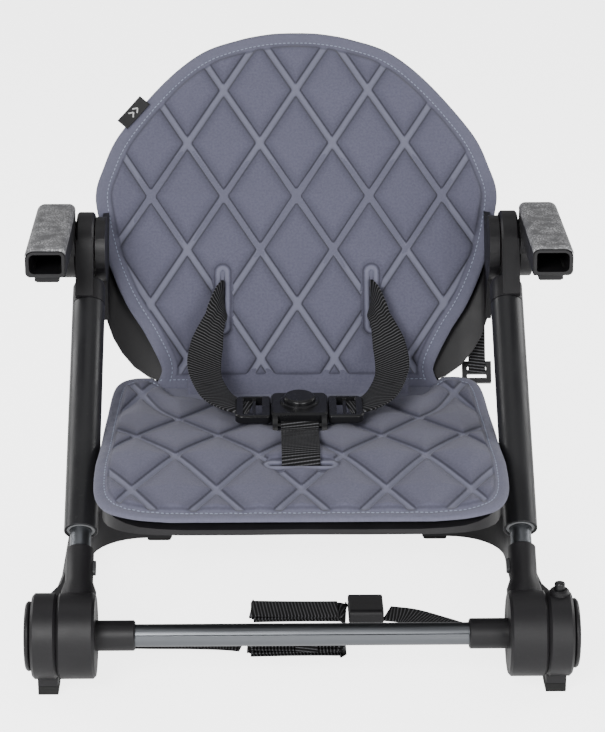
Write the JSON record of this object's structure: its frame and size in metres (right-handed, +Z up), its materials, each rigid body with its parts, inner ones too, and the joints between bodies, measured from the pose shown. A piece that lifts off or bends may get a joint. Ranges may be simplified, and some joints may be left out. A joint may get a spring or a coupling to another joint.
{
  "type": "baby high chair",
  "caption": "Folding booster high chair: padded seat and backrest with a three-point harness, hung between telescopic leaning legs on a U-shaped base.",
  "frame": {"origin": "on the floor, under the middle of the whole outline", "axes": "+Z up, -Y the way the child faces, +X to the right seen from the front"},
  "size_m": [0.418, 0.4343, 0.4091],
  "materials": {
    "black_plastic": "injection-moulded black plastic, fine satin grain",
    "grey_cover": "mid-grey moulded cover with a leathery grain",
    "black_tube": "steel tube, satin black powder coat",
    "grey_metal": "drawn aluminium tube, satin grey",
    "steel": "zinc-plated steel",
    "pale_nylon": "pale grey nylon bushing",
    "snap_grey": "grey plastic button cap",
    "liner_fabric": "grey-blue woven polyester, quilted in welded diamond channels",
    "webbing": "black ribbed polypropylene webbing",
    "rubber_pad": "black anti-slip rubber",
    "label_black": "woven black satin label with a plain pale device"
  },
  "bodies": {
    "base": {"base_frame": "black_plastic", "hub_cap_left": "black_plastic", "hub_cap_right": "black_plastic", "hub_bolt_left": "steel", "hub_bolt_right": "steel", "front_foot_left": "rubber_pad", "front_foot_right": "rubber_pad", "rear_foot_left": "rubber_pad", "rear_foot_right": "rubber_pad", "chair_strap_left": "webbing", "chair_strap_bundle": "webbing", "chair_strap_fold": "webbing", "chair_strap_buckle": "black_plastic", "chair_strap_right": "webbing"},
    "release_button": {"release_button": "black_plastic"},
    "legs": {"leg_hub_left": "black_plastic", "leg_hub_right": "black_plastic", "leg_tube_left": "grey_metal", "leg_tube_right": "grey_metal", "crossbar": "grey_metal"},
    "snap_button_left": {"snap_button_left": "snap_grey"},
    "snap_button_right": {"snap_button_right": "snap_grey"},
    "carriage": {"leg_sleeve_left": "black_tube", "leg_sleeve_right": "black_tube", "sleeve_bushing_left": "pale_nylon", "sleeve_bushing_right": "pale_nylon", "pivot_bracket_left": "black_plastic", "pivot_bracket_right": "black_plastic", "armrest_left": "black_plastic", "armrest_right": "black_plastic", "armrest_cover_left": "grey_cover", "armrest_cover_right": "grey_cover", "pivot_bolt_left": "steel", "pivot_bolt_right": "steel"},
    "height_trigger_left": {"height_trigger_left": "black_plastic"},
    "height_trigger_right": {"height_trigger_right": "black_plastic"},
    "backrest": {"back_shell": "black_plastic", "back_pad": "liner_fabric", "fold_pin_left": "steel", "fold_pin_right": "steel", "edge_label": "label_black", "rear_strap_slider": "black_plastic", "rear_strap_tab": "webbing", "waist_strap_left": "webbing", "waist_strap_right": "webbing"},
    "seat": {"seat_shell": "black_plastic", "seat_pad": "liner_fabric", "crotch_strap": "webbing", "buckle_body": "black_plastic"},
    "buckle_button": {"buckle_button": "black_plastic"},
    "buckle_tongue_left": {"buckle_tongue_left": "black_plastic"},
    "buckle_tongue_right": {"buckle_tongue_right": "black_plastic"}
  },
  "joints": [
    {"name": "leg_fold", "type": "hinge", "parent": "base", "child": "legs", "pos_m": [0, -0.1844, 0.043], "axis": [-1, 0, 0], "range_deg": [0, 18]},
    {"name": "height_slide", "type": "slide", "parent": "legs", "child": "carriage", "axis": [0, 0.766, 0.6428], "range_m": [0, 0.078]},
    {"name": "seat_tilt", "type": "hinge", "parent": "carriage", "child": "backrest", "pos_m": [0, 0.07912, 0.26412], "axis": [-1, 0, 0], "range_deg": [0, 20]},
    {"name": "seat_fold", "type": "hinge", "parent": "backrest", "child": "seat", "pos_m": [0, 0.0616, 0.138], "axis": [-1, 0, 0], "range_deg": [0, 72], "deforming": ["waist_strap_left", "waist_strap_right"]},
    {"name": "release_press", "type": "slide", "parent": "base", "child": "release_button", "axis": [0, 0, -1], "range_m": [0, 0.0035], "stiffness_N_per_m": 500, "springref_m": -0.002},
    {"name": "snap_press_left", "type": "slide", "parent": "legs", "child": "snap_button_left", "axis": [-1, 0, 0], "range_m": [0, 0.0018], "stiffness_N_per_m": 600, "springref_m": -0.001},
    {"name": "snap_press_right", "type": "slide", "parent": "legs", "child": "snap_button_right", "axis": [1, 0, 0], "range_m": [0, 0.0018], "stiffness_N_per_m": 600, "springref_m": -0.001},
    {"name": "trigger_left", "type": "hinge", "parent": "carriage", "child": "height_trigger_left", "pos_m": [-0.1935, 0.0216, 0.28], "axis": [-1, 0, 0], "range_deg": [0, 6], "stiffness_Nm_per_rad": 0.4, "springref_deg": -11.46},
    {"name": "trigger_right", "type": "hinge", "parent": "carriage", "child": "height_trigger_right", "pos_m": [0.1935, 0.0216, 0.28], "axis": [-1, 0, 0], "range_deg": [0, 6], "stiffness_Nm_per_rad": 0.4, "springref_deg": -11.46},
    {"name": "buckle_press", "type": "slide", "parent": "seat", "child": "buckle_button", "axis": [0, 0.0872, -0.9962], "range_m": [0, 0.0025], "stiffness_N_per_m": 500, "springref_m": -0.002},
    {"name": "tongue_left", "type": "slide", "parent": "seat", "child": "buckle_tongue_left", "axis": [-1, 0, 0], "range_m": [0, 0.018], "deforming": ["waist_strap_left"]},
    {"name": "tongue_right", "type": "slide", "parent": "seat", "child": "buckle_tongue_right", "axis": [1, 0, 0], "range_m": [0, 0.018], "deforming": ["waist_strap_right"]}
  ]
}
